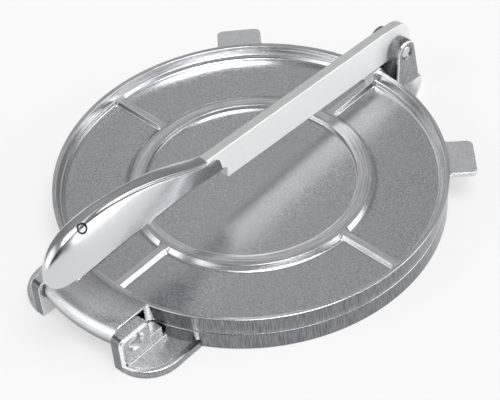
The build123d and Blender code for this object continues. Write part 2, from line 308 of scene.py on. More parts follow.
# %% [markdown]
# The finish of a plate changes from place to place: the high parts were ground bright, the outer
# wall is scratched up and down and painted darker as shade, and on a spoke the scratches run
# along it. Painting a picture for this would tie it to one size. Instead each point carries three
# numbers from 0 to 1, called attributes, and the material mixes its finishes by them.

# %% Finish of a plate
GRIND_FROM, GRIND_FADE = 0.4, 0.8
SIDE_FADE = 0.5
SIDE_TOP_EDGE = 0.3
SPOKE_FINISH_END = 97.5


def plate_finish(points, ground, side_radius):
    """Attributes of a plate: ground as given, side, which is 1 on the outer wall and fades in
    with radius, and spoke, which is 1 between the ring and the rim along a spoke."""
    radius = np.hypot(points[..., 0], points[..., 1])
    below_top = points[..., 2] < points[..., 2].max() - SIDE_TOP_EDGE
    side = np.clip((radius - side_radius) / SIDE_FADE, 0, 1) * below_top
    beside = np.minimum(np.abs(points[..., 0]), np.abs(points[..., 1]))
    between = (radius > RING_OUT + 0.5) & (radius < SPOKE_FINISH_END)
    spoke = (beside < SPOKE_HALF + RIB_DRAFT) & between
    return {"ground": ground * (1 - side), "side": side, "spoke": spoke}


# %% [markdown]
# The lid's floor is sunk between the ring and a raised rim. The rim rises in two steps to a
# narrow sloping land, and its outer wall leans in a little, again to leave the mould.

# %% Lid plate
LID_LOW, LID_FLOOR, LID_TOP = 11.0, 14.6, 22.0
RIB_TOP = LID_FLOOR + RIB_HEIGHT
RING_SWEEP, RING_CROWN, RING_SHOULDER = 2.6, 0.35, 1.8
RIM_FOOT, RIM_STEP_IN, RIM_STEP_OUT, RIM_LAND = 96.7, 97.8, 98.3, 99.6
LAND_FALL = 0.7
WALL_LEAN = 0.7
SPOKES_END = 98.1
lid_profile = turned_profile(
    [
        (AXIS_GAP, LID_FLOOR, 0),
        (RING_IN - 0.3, LID_FLOOR, RIB_FILLET),
        (RING_IN, RIB_TOP, RIB_EDGE),
        (RING_IN + RING_SHOULDER, RIB_TOP + RING_CROWN, 3.0),
        (RING_OUT - RING_SHOULDER, RIB_TOP + RING_CROWN, 3.0),
        (RING_OUT, RIB_TOP, RIB_EDGE),
        (RING_OUT + RING_SWEEP, LID_FLOOR, RING_SWEEP),
        (RIM_FOOT, LID_FLOOR, 2.2),
        (RIM_STEP_IN, RIB_TOP, 0.25),
        (RIM_STEP_OUT, RIB_TOP, 0.25),
        (RIM_LAND, LID_TOP - LAND_FALL, 0.4),
        (PLATE_RADIUS, LID_TOP, 0.5),
        (PLATE_RADIUS - WALL_LEAN, LID_LOW, 0.4),
        (AXIS_GAP, LID_LOW, 0),
    ]
)
lid_points = turned_grid(lid_profile, SPOKES_END, LID_FLOOR, RIB_HEIGHT)
lid_ground = np.clip((lid_points[..., 2] - LID_FLOOR - GRIND_FROM) / GRIND_FADE, 0, 1)
lid_finish = plate_finish(lid_points, lid_ground, PLATE_RADIUS - 1.1)
lid_plate = skin("lid_plate", lid_points, finish=lid_finish)
print("lid plate:", len(lid_plate.data.polygons), "faces")

# %% [markdown]
# The base is flat on top, where the dough lies, and hollow below. It stands on the lower edge of
# its wall. Its ribs hang down from the hollow's ceiling, so their height is negative here.

# %% Base plate
BASE_TOP, BASE_CEILING = 10.6, 7.0
BASE_RADIUS = 101.2
WALL_FOOT, WALL_ROOT = 98.8, 96.5
base_profile = turned_profile(
    [
        (AXIS_GAP, BASE_TOP, 0),
        (BASE_RADIUS, BASE_TOP, 0.5),
        (BASE_RADIUS, 0.0, 0.5),
        (WALL_FOOT, 0.0, 0.4),
        (WALL_ROOT, BASE_CEILING, RIB_FILLET),
        (RING_OUT + RIB_DRAFT, BASE_CEILING, RIB_FILLET),
        (RING_OUT, BASE_CEILING - RIB_HEIGHT, RIB_EDGE),
        (RING_IN, BASE_CEILING - RIB_HEIGHT, RIB_EDGE),
        (RING_IN - RIB_DRAFT, BASE_CEILING, RIB_FILLET),
        (AXIS_GAP, BASE_CEILING, 0),
    ]
)
base_points = turned_grid(base_profile, WALL_ROOT + 0.5, BASE_CEILING, -RIB_HEIGHT)
base_finish = plate_finish(base_points, 0.0, BASE_RADIUS - 0.7)
base_disc = skin("base_disc", base_points, finish=base_finish)
print("base disc:", len(base_disc.data.polygons), "faces")

# %% [markdown]
# Two tabs on the rim let the fingers lift the lid. Each is a thin plate with round corners that
# swells with a hollow curve into the rim, where the pattern maker left room for the metal to flow.

# %% Finger tabs
TAB_ANGLE = 45.9
TAB_HALF, TAB_REACH = 12.2, 115.5
TAB_ROOT, TAB_CORNER = 3.0, 3.5
TAB_LOW, TAB_HIGH, TAB_EDGE = 18.2, 21.2, 0.6


def tab_outline():
    """Plan of a tab along +X: root arcs touch the rim from outside, far corners are arcs, and
    the inner end is tucked into the rim."""
    aside = TAB_HALF + TAB_ROOT
    rim = PLATE_RADIUS - 0.4
    centre_x = np.sqrt((rim + TAB_ROOT) ** 2 - aside**2)
    lean = np.degrees(np.arctan2(aside, centre_x))
    root = arc((centre_x, aside), TAB_ROOT, 180 + lean, 270, 5)
    corner = arc((TAB_REACH - TAB_CORNER, TAB_HALF - TAB_CORNER), TAB_CORNER, 90, 0, 6)
    tucked = (PLATE_RADIUS - 2.1, TAB_HALF + 2.0)
    upper = np.concatenate([[tucked], root, corner])
    return np.concatenate([upper, (upper * (1, -1))[::-1]])


def turned_plan(outline, degrees):
    """The outline turned about the middle of the plates."""
    turn = np.radians(degrees)
    return outline @ [[np.cos(turn), np.sin(turn)], [-np.sin(turn), np.cos(turn)]]


tabs = []
for side, degrees in (("right", 90 - TAB_ANGLE), ("left", 90 + TAB_ANGLE)):
    plan = turned_plan(tab_outline(), degrees)
    tabs.append(plan_plate(f"lid_tab_{side}", plan, TAB_LOW, TAB_HIGH, TAB_EDGE))
print("tabs:", [tab.name for tab in tabs])

# %% [markdown]
# The lid turns on a tongue that is rolled down round the hinge pin. Seen from the side it is a
# round end on a flat plate; seen from above its front is slightly bowed. So its side profile is
# carried across the press and pushed back by the bow. Its underside is painted dark, as shade
# under the roll: an attribute is 1 there, and the material darkens it.

# %% Hinge tongue
TONGUE_HALF = 24.5
TONGUE_TOP, TONGUE_RADIUS = 21.8, 7.0
TONGUE_FORWARD = 3.0
TONGUE_TUCK = -101.0
TONGUE_BOW = 101.5
TONGUE_EDGE = 0.8
TONGUE_COLUMNS = 25
# Below this height the roll is painted dark as shade, fading out over the second number.
PAINTED_SHADE_BELOW, PAINTED_SHADE_FADE = 17.2, 3.5
TOUCH_GAP = 0.05


def tongue_rings():
    """The side profile is carried across the press. At x it is moved back by the sagitta of the
    bow's circle, and the first and last rings are drawn in to round the edges."""
    end = arc((HINGE[0] - TONGUE_FORWARD, HINGE[1]), TONGUE_RADIUS, 90, 262, 26)
    profile = np.concatenate([[(TONGUE_TUCK, TONGUE_TOP)], end, [(TONGUE_TUCK, LID_LOW + TOUCH_GAP)]])
    border = TONGUE_HALF - TONGUE_EDGE * DROPPED
    middle = np.linspace(TONGUE_EDGE - TONGUE_HALF, TONGUE_HALF - TONGUE_EDGE, TONGUE_COLUMNS)[1:-1]
    x = np.concatenate([-border, middle, border[::-1]])
    drawn = TONGUE_EDGE * np.concatenate([DRAWN_IN, 0 * middle, DRAWN_IN[::-1]])
    sagitta = TONGUE_BOW - np.sqrt(TONGUE_BOW**2 - x**2)
    rings = []
    for across, distance, back in zip(x, drawn, sagitta):
        ring = inset(profile, distance) + (back, 0)
        rings.append(np.column_stack([np.full(len(ring), across), ring]))
    return np.stack(rings)


tongue_points = tongue_rings()
# Painted shade: 1 low on the roll, fading to 0 above it.
tongue_painted_shade = np.clip((PAINTED_SHADE_BELOW - tongue_points[..., 2]) / PAINTED_SHADE_FADE, 0, 1)
tongue = skin("lid_tongue", tongue_points, finish={"painted_shade": tongue_painted_shade})

# %% [markdown]
# Where the tongue leaves the round plate the casting swells out on both sides in a hollow curve.
# This block fills that corner: its outline follows an arc that touches the plate's wall.

# %% Root of the tongue
ROOT_FILLET = 4.0
ROOT_HALF = TONGUE_HALF + ROOT_FILLET
fillet_reach = PLATE_RADIUS - WALL_LEAN + ROOT_FILLET
fillet_y = -np.sqrt(fillet_reach**2 - ROOT_HALF**2)
fillet_lean = np.degrees(np.arcsin(ROOT_HALF / fillet_reach))
fillet = arc((ROOT_HALF, fillet_y), ROOT_FILLET, 90 + fillet_lean, 180, 5)
right_half = np.concatenate([[(TONGUE_HALF + 2.0, -97.8)], fillet, [(TONGUE_HALF, -107.0)]])
root_plan = np.concatenate([right_half, (right_half * (-1, 1))[::-1]])
root_block = plan_plate("lid_tongue_root", root_plan, LID_LOW + TOUCH_GAP, TAB_HIGH, 0.5)
print("tongue is", 2 * TONGUE_HALF, "wide and its root", 2 * ROOT_HALF)

# %% [markdown]
# The lever doesn't lie level: it rises a few degrees towards the grip. All its heights are
# therefore measured from a line through the pivot. A small block on the lid, just below the
# lever, takes its push when the press is closed.

# %% Nose block under the lever
TILT = np.tan(np.radians(3.35))
LEVER_LOW, LEVER_HIGH = -5.8, 14.2
NOSE_HALF, NOSE_GAP = 3.6, 0.4
NOSE_BACK, NOSE_MIDDLE, NOSE_FRONT, NOSE_FOOT = 95.5, 101.5, 106.2, 12.0
NOSE_DROP = 7.6


def lever_line(y, above):
    """Height at y of a line along the lever, a given distance above its pivot."""
    return PIVOT[1] + above + (PIVOT[0] - y) * TILT


nose_top = lever_line(NOSE_MIDDLE, LEVER_LOW) - NOSE_GAP
nose_corners = [
    (NOSE_BACK, NOSE_FOOT),
    (NOSE_BACK, nose_top),
    (NOSE_MIDDLE, nose_top),
    (NOSE_FRONT, nose_top - NOSE_DROP),
    (NOSE_FRONT, NOSE_FOOT),
]
nose_outline = rounded(nose_corners, [0.7, 0.8, 1.2, 0.8, 0.7])
nose = side_plate("lid_nose", nose_outline, -NOSE_HALF, NOSE_HALF, 0.6)
lid_pieces = [lid_plate, *tabs, tongue, root_block, nose]
print("lid:", len(lid_pieces), "pieces")

# %% [markdown]
# A lug carries a pin through a bore. A Boolean could drill the bore, but it leaves ragged faces.
# Instead the surface is wrapped round like a tyre: from the bore over the countersink to the
# outer face, over the rounded edge, along the narrow side and back to the bore. Its rounded edges
# are painted bright, partly as wear and partly as painted highlight, and the narrow side at its
# front is painted dark as shade; two attributes tell the material where.

# %% Lugs with a bore
COUNTERSINK = 1.0
INNER_EDGE = 0.4
# Narrow sides in front of this y are painted dark as shade.
PAINTED_SHADE_FRONT = -122.0


def lug(name, outline, bore, bore_radius, inner_x, outer_x, edge):
    """Closed tyre-shaped solid between two x planes, with a countersink on the outer side. Every
    ring has the angles of the outline's points as seen from the bore, so corners stay. What
    would lie below the table is pressed up to it. One attribute is 1 on the rounded edges, painted
    bright as wear and painted highlight, and another is 1 on the narrow front side, painted dark as shade."""
    around = outline - bore
    angle = np.arctan2(around[:, 1], around[:, 0])
    circle = np.stack([np.cos(angle), np.sin(angle)], 1)
    away = np.sign(outer_x - inner_x)

    def ring(plan, x):
        return np.column_stack([np.full(len(plan), x), plan])

    mouth = COUNTERSINK * np.array([(0, 1.1), (0, 1), (0.9, 0.1), (1.1, 0), (1.3, 0)])
    rings = [ring(bore + circle * bore_radius, inner_x)]
    rings += [ring(bore + circle * (bore_radius + out), outer_x - away * deep) for out, deep in mouth]
    outer = len(rings)
    turned = list(zip(DRAWN_IN, DROPPED))
    rings += [ring(inset(outline, edge * d), outer_x - away * edge * h) for d, h in turned]
    inner = len(rings)
    soft = INNER_EDGE
    rings += [ring(inset(outline, soft * d), inner_x + away * soft * h) for d, h in turned[::-1]]
    rings = np.stack(rings)
    rings[..., 2] = np.maximum(rings[..., 2], 0.0)
    # Rounded edges painted bright, as wear and painted highlight; narrow front side painted dark as shade.
    wear_and_highlight = np.zeros(rings.shape[:2])
    wear_and_highlight[outer + 1 : inner - 1] = 1.0
    wear_and_highlight[inner + 1 : inner + 3] = 1.0
    painted_shade = np.zeros(rings.shape[:2])
    painted_shade[inner - 1 : inner + 1] = outline[:, 0] < PAINTED_SHADE_FRONT
    return skin(name, rings, closed_stack=True, finish={"wear_and_highlight": wear_and_highlight, "painted_shade": painted_shade})


# %% [markdown]
# Two tall lugs at the front of the base hold the hinge pin on both sides of the tongue. Behind
# each a low wall ties it to the base plate.

# %% Hinge lugs and their low walls
SIDES = (("right", 1), ("left", -1))
LUG_IN, LUG_OUT = 25.0, 32.0
LUG_FRONT, LUG_BACK, LUG_TOP, LUG_BELOW = -124.6, -104.8, 21.3, -3.0
HINGE_PIN_RADIUS = 4.0
WALL_FRONT, WALL_BACK = -106.0, -98.0
lug_corners = [(LUG_FRONT, LUG_BELOW), (LUG_FRONT, LUG_TOP), (LUG_BACK, LUG_TOP), (LUG_BACK, LUG_BELOW)]
lug_outline = refine(rounded(lug_corners, [0, 3.5, 3.5, 0], 6), 2.0, closed=True)
hinge_lugs, walls = [], []
for side, hand in SIDES:
    name = f"hinge_lug_{side}"
    inner_x, outer_x = hand * LUG_IN, hand * LUG_OUT
    hinge_lugs.append(lug(name, lug_outline, HINGE, HINGE_PIN_RADIUS, inner_x, outer_x, 1.6))
for side, hand in SIDES:
    y_range, x_range = (WALL_FRONT, WALL_BACK), (hand * LUG_IN, hand * LUG_OUT)
    walls.append(block(f"hinge_wall_{side}", y_range, BASE_TOP - TOUCH_GAP, x_range, 0.4))
print("hinge lugs reach x", LUG_OUT, "and height", LUG_TOP)

# %% [markdown]
# Beside each hinge lug a flat half-moon foot keeps the press from tipping when the lever is
# pushed. Its floor is sunk, and a raised rim follows its edge: one section carried along the edge.
# The outer wall of that rim stays dull from the mould, with painted shade in its tone, and the rest
# of the rim is painted bright, partly as wear and partly as painted highlight.

# %% Half-moon feet
FOOT_CENTRE = np.array([29.7, -105.6])
FOOT_RADIUS, FOOT_FLOOR_RADIUS = 19.0, 17.5
FOOT_STRAIGHT = 19.0
FOOT_HEIGHT, FOOT_FLOOR, FOOT_FLOOR_TOP = 4.5, 1.7, 1.8
FOOT_RIM, FOOT_RIM_FOOT, FOOT_RIM_END = 3.2, 3.9, 6.5
FOOT_INNER_X, FOOT_BACK = 26.0, -86.0
# Fade of the rim's bright paint, which is wear and painted highlight.
FOOT_BRIGHT_FADE = 0.3
LEDGE_Y, LEDGE_X = (-123.5, -96.0), (31.0, 33.0)
RIM_STEPS = 33


def foot_rim_rings(hand):
    """The rim's section stands upright on a path of a quarter circle and a straight. A section
    point at distance u inside the edge lies on the path moved inwards by u."""
    corners = [(0, 0), (0, FOOT_HEIGHT), (FOOT_RIM, FOOT_HEIGHT)]
    corners += [(FOOT_RIM_FOOT, FOOT_FLOOR), (FOOT_RIM_END, FOOT_FLOOR), (FOOT_RIM_END, 0)]
    section = rounded(corners, [0.3, 0.9, 0.9, 1.0, 0, 0])
    turn = np.radians(np.linspace(-90, 0, RIM_STEPS))
    outward = np.concatenate([np.stack([np.cos(turn), np.sin(turn)], 1), [[1.0, 0.0]]])
    along = np.zeros_like(outward)
    along[-1, 1] = FOOT_STRAIGHT
    inwards = section[None, :, 0:1]
    plan = (FOOT_CENTRE + along)[:, None] + outward[:, None] * (FOOT_RADIUS - inwards)
    height = np.broadcast_to(section[None, :, 1:2], plan[:, :, :1].shape)
    return np.concatenate([plan, height], -1) * (hand, 1, 1)


def foot_wear_and_highlight(rings, hand):
    """1 on all of the rim but its outer wall, where it is painted bright as wear and painted
    highlight: the distance from the foot's middle decides.
    """
    aside = rings[..., 0] - hand * FOOT_CENTRE[0]
    before = np.minimum(rings[..., 1] - FOOT_CENTRE[1], 0.0)
    return np.clip((FOOT_RADIUS - 0.1 - np.hypot(aside, before)) / FOOT_BRIGHT_FADE, 0, 1)


floor_arc = arc(FOOT_CENTRE, FOOT_FLOOR_RADIUS, -90, 0, 20)
outer_x, front_y = FOOT_CENTRE + (FOOT_FLOOR_RADIUS, -FOOT_FLOOR_RADIUS)
back_corners = [(outer_x, FOOT_BACK), (FOOT_INNER_X, FOOT_BACK)]
foot_plan = np.concatenate([[(FOOT_INNER_X, front_y)], floor_arc, back_corners])
foot_rims, foot_floors = [], []
for side, hand in SIDES:
    rings = foot_rim_rings(hand)
    foot_rims.append(skin(f"foot_rim_{side}", rings, finish={"wear_and_highlight": foot_wear_and_highlight(rings, hand)}))
    floor_piece = plan_plate(f"foot_floor_{side}", foot_plan * (hand, 1), TOUCH_GAP, FOOT_FLOOR_TOP, 0.02)
    ledge_x = [hand * x for x in LEDGE_X]
    ledge = block(f"foot_ledge_{side}", LEDGE_Y, FOOT_HEIGHT, ledge_x, 0.45)
    foot_floors += [floor_piece, ledge]
print("feet:", len(foot_rims + foot_floors), "pieces")

# %% [markdown]
# At the back two lugs make a fork, and the lever's eye turns between them. A fork lug is a round
# head that widens down to a foot: tangents from the foot's two ends touch a circle about the pin.

# %% Fork
FORK_IN, FORK_OUT = 3.1, 10.7
FORK_HEAD = 7.1
FORK_BACK, FORK_FRONT = 127.0, 106.0
LEVER_PIN_RADIUS = 3.5


def fork_outline():
    """Circle about the pivot, from the angle where one foot's tangent touches it to the other's:
    the angle towards the foot less or plus arccos(radius / distance)."""
    feet = np.array([(FORK_BACK, 0.0), (FORK_FRONT, 0.0)])
    away = feet - PIVOT
    towards = np.degrees(np.arctan2(away[:, 1], away[:, 0]))
    opening = np.degrees(np.arccos(FORK_HEAD / np.linalg.norm(away, axis=1)))
    start, end = towards[0] + opening[0], towards[1] - opening[1] + 360
    head = arc(PIVOT, FORK_HEAD, start, end, 30)
    feet += 0.1 * (feet - head[[0, -1]])
    return refine(np.concatenate([feet[:1], head, feet[1:]]), 2.5, closed=True)


fork_line = fork_outline()
fork = []
for side, hand in SIDES:
    inner_x, outer_x = hand * FORK_IN, hand * FORK_OUT
    fork.append(lug(f"fork_lug_{side}", fork_line, PIVOT, LEVER_PIN_RADIUS, inner_x, outer_x, 1.2))
print("fork lug:", len(fork_line), "points round")

# %% [markdown]
# A tapered web joins the fork to the plate's wall, broad and high at the plate and narrow under
# the lugs. It is a loft: its section across the press shrinks in a straight line.

# %% Web of the fork
WEB_START, WEB_LENGTH = 96.5, 30.9
WEB_HALF, WEB_HALF_LOSS = 26.0, 14.8
WEB_TOP, WEB_TOP_LOSS = 9.0, 2.4
WEB_SIDE = 2.5
WEB_SHARES = np.array([0.0, 0.2, 0.4, 0.6, 0.8, 0.97, 0.99, 1.0])
WEB_DRAWN_IN = np.array([0, 0, 0, 0, 0, 0, 0.1, 0.35])


def web_rings():
    """At the share s of its length the web has half width a - b s and height c - d s, less what
    the last rings are drawn in to round the end."""
    rings = []
    for share, drawn in zip(WEB_SHARES, WEB_DRAWN_IN):
        half = WEB_HALF - WEB_HALF_LOSS * share - drawn
        top = WEB_TOP - WEB_TOP_LOSS * share - drawn
        right = np.array([(half, 0), (half, WEB_SIDE), (FORK_OUT - drawn, top)])
        corners = np.concatenate([right, (right * (-1, 1))[::-1]])
        section = rounded(corners, [0.2, 1.2, 2.5, 2.5, 1.2, 0.2])
        along = np.full(len(section), WEB_START + WEB_LENGTH * share)
        rings.append(np.column_stack([section[:, 0], along, section[:, 1]]))
    return np.stack(rings)


web = skin("fork_web", web_rings())
base_pieces = [base_disc, *hinge_lugs, *walls, *foot_rims, *foot_floors, *fork, web]
print("base:", len(base_pieces), "pieces")

# %% [markdown]
# The lever starts as a flat upright bar with a round eye. A small lobe under the eye runs round
# the pin. The bar is one rounded plate, and its outline is built from the lever's tilted lines,
# two arcs and a blunt end that is hidden inside the grip.

# %% Bar and eye of the lever
EYE = (115.0, 30.8)
EYE_RADIUS, EYE_END = 12.4, 124.9
LOBE_RADIUS = 8.2
LOBE_FROM, LOBE_TO = -45.5, -134.5
BAR_HALF, BAR_EDGE = 2.7, 0.5
BAR_ROOT = 104.0
BAR_END_LOW, BAR_END_HIGH = -18.0, -33.0
BAR_END_HEIGHTS = (38.8, 44.8)


def bar_outline():
    """Upper side along the lever, round eye, lobe under the pin, lower side, blunt end. The eye's
    arc starts where the line from the bar's upper root touches it."""
    root_top = np.array([BAR_ROOT, lever_line(BAR_ROOT, LEVER_HIGH)])
    away = root_top - EYE
    opening = np.arccos(EYE_RADIUS / np.linalg.norm(away))
    start = np.degrees(np.arctan2(away[1], away[0]) - opening)
    end = np.degrees(np.arcsin((lever_line(EYE_END, LEVER_LOW) - EYE[1]) / EYE_RADIUS))
    eye = arc(EYE, EYE_RADIUS, start, end, 34)
    lobe = arc(PIVOT, LOBE_RADIUS, LOBE_FROM, LOBE_TO, 14)
    corners = [
        lobe[-1],
        (BAR_END_LOW, lever_line(BAR_END_LOW, LEVER_LOW)),
        (BAR_END_LOW, BAR_END_HEIGHTS[0]),
        (BAR_END_HIGH, BAR_END_HEIGHTS[1]),
        (BAR_END_HIGH, lever_line(BAR_END_HIGH, LEVER_HIGH)),
        root_top,
    ]
    front = rounded(corners, [0, 0.8, 0.6, 0.5, 0.5, 0], closed=False)
    return np.concatenate([eye, lobe, refine(front[1:], 12.0)])


bar = side_plate("lever_bar", bar_outline(), -BAR_HALF, BAR_HALF, BAR_EDGE)
print("bar:", len(bar.data.polygons), "faces")

# %% [markdown]
# The grip is the piece that takes the most skill. It grows out of the bar, swells, arches over the
# fingers and closes in a round nose. A maker would give a few sections along it and let a smooth
# curve join them, so here are the stations, and a natural cubic curve runs through each column.

# %% Grip stations
STATIONS = np.array(
    [
        # y, lip, crown, half width at the lip, half width of the crown, fullness
        (-17.6, 38.6, 50.6, 2.4, 2.3, 0.0),
        (-32.0, 42.0, 53.2, 3.9, 3.3, 0.0),
        (-45.0, 45.8, 58.4, 6.0, 3.9, 0.1),
        (-60.0, 48.6, 64.8, 8.2, 3.7, 0.2),
        (-80.0, 51.4, 70.8, 10.2, 2.9, 0.3),
        (-100.0, 52.4, 73.8, 11.2, 2.5, 0.4),
        (-114.0, 51.4, 73.2, 10.8, 2.4, 0.5),
        (-125.0, 49.4, 70.0, 8.8, 2.2, 0.62),
        (-132.0, 48.0, 64.4, 5.4, 1.7, 0.75),
        (-135.2, 49.4, 59.0, 2.4, 0.9, 0.9),
        (-136.0, 53.9, 54.1, 0.05, 0.03, 1.0),
    ]
)[::-1]


def spline(at, places, values):
    """Natural cubic curve through the values: each point's bend is solved for at once."""
    gap = np.diff(places)
    count = len(places)
    matrix = np.eye(count)
    right = np.zeros(count)
    inner = np.arange(1, count - 1)
    matrix[inner, inner - 1] = gap[:-1]
    matrix[inner, inner] = 2 * (gap[:-1] + gap[1:])
    matrix[inner, inner + 1] = gap[1:]
    slope = np.diff(values) / gap
    right[1:-1] = 6 * np.diff(slope)
    bend = np.linalg.solve(matrix, right)
    cell = np.clip(np.searchsorted(places, at) - 1, 0, count - 2)
    t = at - places[cell]
    a = (bend[cell + 1] - bend[cell]) / (6 * gap[cell])
    c = slope[cell] - gap[cell] * (2 * bend[cell] + bend[cell + 1]) / 6
    return values[cell] + t * (c + t * (bend[cell] / 2 + t * a))


print("grip stations:", len(STATIONS))

# %% [markdown]
# Rows along the grip are closer together at the nose, where it curves most: their places follow
# a cosine. Where the crown strip begins, the grip stands a step lower, as the bar's end is seen
# there, and further on a fine groove runs down each side of the strip.

# %% Rows of the grip
NOSE_TIP, GRIP_LENGTH = -136.0, 118.4
GRIP_ROWS = 150
STRIP_START = -31.0
STEP_ROWS = np.array([-1.2, -0.6, -0.3, -0.1, 0.1, 0.3, 0.6])
STEP_DEPTH, STEP_REACH = 0.9, 1.2
LEAST_HALF = 0.02


def row_turn(y):
    """The parameter w of a row at y, where y = tip + length (1 - cos w)."""
    return np.arccos(1 - (y - NOSE_TIP) / GRIP_LENGTH)


def grip_rows():
    """Places y of the rows, and at each the lip, the crown, both half widths, the fullness, and
    before, which falls from 1 to 0 where the crown strip begins."""
    even = NOSE_TIP + GRIP_LENGTH * (1 - np.cos(np.linspace(0, np.pi / 2, GRIP_ROWS)))
    y = np.sort(np.concatenate([even, STRIP_START + STEP_ROWS]))
    columns = STATIONS[:, 1:].T
    lip, crown, half, top_half, full = (spline(row_turn(y), row_turn(STATIONS[:, 0]), c) for c in columns)
    half = np.maximum(half, LEAST_HALF)
    top_half = np.clip(top_half, LEAST_HALF / 2, half * 0.98)
    before = np.clip((y - STRIP_START + 0.35) / 0.5, 0, 1)
    return [y] + [row[:, None] for row in (lip, crown, half, top_half, np.clip(full, 0, 1), before)]


# %% [markdown]
# Across the grip, the outer skin runs up one cheek, over the crown and down the other, and the
# inner skin comes back below it, so that one ring holds the whole thickness of the shell. The
# hollow starts after the bar's end and fades out before the nose.

# %% Grip surface
CHEEK_SHARES = np.concatenate(
    [np.linspace(1, 0.28, 15), [0.23, 0.19, 0.155, 0.13, 0.11, 0.09, 0.07, 0.05, 0.03, 0.015, 0]]
)
CROWN_COLUMNS, HOLLOW_COLUMNS = 13, 23
CROWN_DROP = 0.5
GROOVE_BELOW, GROOVE_WIDTH = 1.1, 0.6
GROOVE_IN, GROOVE_DOWN = 0.5, 0.6
GROOVE_END, GROOVE_FADE = -118.0, 40.0
HOLLOW_START, HOLLOW_FADE_IN = -38.0, 14.0
HOLLOW_END, HOLLOW_FADE_OUT = -133.5, 9.0
SHELL_WALL, SHELL_CROWN = 2.6, 3.0


def distance_below_crown(x, z):
    """Length of the cheek from its top, which is the last column, down to each column."""
    pieces = np.hypot(np.diff(x, axis=1), np.diff(z, axis=1))
    below = np.cumsum(pieces[:, ::-1], 1)[:, ::-1]
    return np.concatenate([below, 0 * below[:, :1]], 1)


def grip_rings():
    """A cheek point at share s has x = crown half + (lip half - crown half) * ((1 - q) s +
    q sqrt(1 - (1 - s)^2)), where q is the fullness, and falls with s from the crown to the lip.
    A groove is a dent exp(-(d / width)^2) at the distance d from its line. The hollow is a half
    ring: x follows a cosine, and the height a sine to the power 0.8."""
    y, lip, crown, half, top_half, full, before = grip_rows()
    drop = np.minimum(CROWN_DROP, 0.2 * (crown - lip))
    share = CHEEK_SHARES[None]
    bulge = (1 - full) * share + full * np.sqrt(1 - (1 - share) ** 2)
    cheek_x = top_half + (half - top_half) * bulge
    cheek_z = crown - drop - share * (crown - drop - lip)
    below = distance_below_crown(cheek_x, cheek_z)
    fade = np.clip((y[:, None] - GROOVE_END) / GROOVE_FADE, 0, 1) * (1 - before)
    groove = fade * np.exp(-(((below - GROOVE_BELOW) / GROOVE_WIDTH) ** 2))
    step = STEP_DEPTH * before * np.exp(-below / STEP_REACH)
    cheek_x = cheek_x - GROOVE_IN * groove - step
    cheek_z = cheek_z - GROOVE_DOWN * groove - step
    over = np.linspace(1, -1, CROWN_COLUMNS)[None, 1:-1]
    crown_x = (top_half - STEP_DEPTH * before) * over
    crown_z = crown - STEP_DEPTH * before - drop * over**2
    begin = np.clip((HOLLOW_START - y[:, None]) / HOLLOW_FADE_IN, 0, 1)
    finish = np.clip((y[:, None] - HOLLOW_END) / HOLLOW_FADE_OUT, 0, 1)
    depth = begin * begin * (3 - 2 * begin) * np.sqrt(finish)
    hollow = np.clip(depth * (crown - SHELL_CROWN - lip), 0, None)
    turn = np.linspace(np.pi, 0, HOLLOW_COLUMNS)[None]
    inner_x = (half - np.minimum(SHELL_WALL, 0.4 * half)) * np.cos(turn)
    inner_z = lip + hollow * np.sin(turn) ** 0.8
    x = np.concatenate([cheek_x, crown_x, -cheek_x[:, ::-1], inner_x], 1)
    z = np.concatenate([cheek_z, crown_z, cheek_z[:, ::-1], inner_z], 1)
    return np.stack([x, np.broadcast_to(y[:, None], x.shape), z], -1)


grip = skin("lever_grip", grip_rings())
print("grip:", len(grip.data.polygons), "faces")

# %% [markdown]
# The pins were cut from steel rod and their ends were headed, which leaves a low dome. A pin is a
# turned form: a profile of distance along x and radius, carried round the pin's axis.

# %% Pins
DOME_HEIGHT, DOME_EDGE = 0.6, 0.35
PIN_COLUMNS = 48
PIN_SINK, FORK_PIN_SINK = 0.2, 0.1


def turned_pin(name, centre, radius, end_x):
    """Steel pin along x. Over its domed ends x falls with the square of the radius."""
    dome = np.linspace(AXIS_GAP, radius - DOME_EDGE, 8)
    line = np.column_stack([end_x - DOME_HEIGHT * (dome / radius) ** 2, dome])
    line = np.concatenate([line, [(end_x - 0.75, radius - 0.1), (end_x - 1.0, radius)]])
    line = np.concatenate([line, (line * (-1, 1))[::-1]])
    turn = np.linspace(0, 2 * np.pi, PIN_COLUMNS + 1)[None, :-1]
    x, out = line[:, 0:1] + 0 * turn, line[:, 1:2]
    return skin(name, np.stack([x, centre[0] + out * np.cos(turn), centre[1] + out * np.sin(turn)], -1))


hinge_pin = turned_pin("hinge_pin_steel", HINGE, HINGE_PIN_RADIUS, LUG_OUT - PIN_SINK)
lever_pin = turned_pin("lever_pin_steel", PIVOT, LEVER_PIN_RADIUS, FORK_OUT - FORK_PIN_SINK)
print("pins:", [len(pin.data.polygons) for pin in (hinge_pin, lever_pin)], "faces")

# %% [markdown]
# Now the finishes. A Blender material is a tree of nodes. One small helper adds any node, fills
# its inputs and returns one of its outputs, so that a tree reads like a row of sums.

# %% Material helpers
def linear(text):
    """sRGB hex to linear colour."""
    value = np.array([int(text[i : i + 2], 16) for i in (1, 3, 5)]) / 255
    value = np.where(value <= 0.04045, value / 12.92, ((value + 0.055) / 1.055) ** 2.4)
    return (*value.tolist(), 1.0)


